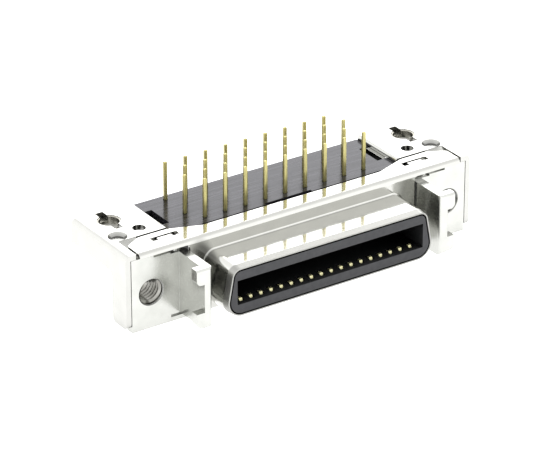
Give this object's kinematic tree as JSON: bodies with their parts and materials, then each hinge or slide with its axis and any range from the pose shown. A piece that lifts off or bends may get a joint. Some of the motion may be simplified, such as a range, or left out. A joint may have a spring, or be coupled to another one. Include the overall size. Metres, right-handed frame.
{
  "type": "board-mount ribbon connector receptacle",
  "caption": "Right-angle shielded ribbon receptacle for a circuit board, with latch hooks, jack-screw threads and staggered solder tails.",
  "frame": {"origin": "on the board seat, midway between the two hold-down holes", "axes": "+Z out of the seat towards the circuit board, -Y out of the mating face, +X along the contact rows to the right as seen from the mating side with the board above"},
  "size_m": [0.044, 0.0162, 0.0129],
  "materials": {
    "shell_metal": "bright nickel plated sheet",
    "bracket_metal": "bright nickel plated sheet",
    "latch_metal": "nickel plated stamping, brushed",
    "nut_metal": "nickel plated, turned",
    "body_plastic": "moulded black, fine satin",
    "plate_plastic": "moulded black, fine satin",
    "contact_gold": "gold plated copper alloy"
  },
  "bodies": {
    "root": {"front_shell": "shell_metal", "rear_shell": "shell_metal", "insulator_body": "body_plastic", "tail_plate": "plate_plastic", "right_bracket": "bracket_metal", "left_bracket": "bracket_metal", "right_latch_plate": "latch_metal", "left_latch_plate": "latch_metal", "right_jack_nut": "nut_metal", "left_jack_nut": "nut_metal", "right_hold_down_nut": "nut_metal", "left_hold_down_nut": "nut_metal", "upper_contact_01": "contact_gold", "upper_contact_02": "contact_gold", "upper_contact_03": "contact_gold", "upper_contact_04": "contact_gold", "upper_contact_05": "contact_gold", "upper_contact_06": "contact_gold", "upper_contact_07": "contact_gold", "upper_contact_08": "contact_gold", "upper_contact_09": "contact_gold", "upper_contact_10": "contact_gold", "upper_contact_11": "contact_gold", "upper_contact_12": "contact_gold", "upper_contact_13": "contact_gold", "upper_contact_14": "contact_gold", "upper_contact_15": "contact_gold", "upper_contact_16": "contact_gold", "upper_contact_17": "contact_gold", "upper_contact_18": "contact_gold", "lower_contact_01": "contact_gold", "lower_contact_02": "contact_gold", "lower_contact_03": "contact_gold", "lower_contact_04": "contact_gold", "lower_contact_05": "contact_gold", "lower_contact_06": "contact_gold", "lower_contact_07": "contact_gold", "lower_contact_08": "contact_gold", "lower_contact_09": "contact_gold", "lower_contact_10": "contact_gold", "lower_contact_11": "contact_gold", "lower_contact_12": "contact_gold", "lower_contact_13": "contact_gold", "lower_contact_14": "contact_gold", "lower_contact_15": "contact_gold", "lower_contact_16": "contact_gold", "lower_contact_17": "contact_gold", "lower_contact_18": "contact_gold"}
  },
  "joints": []
}
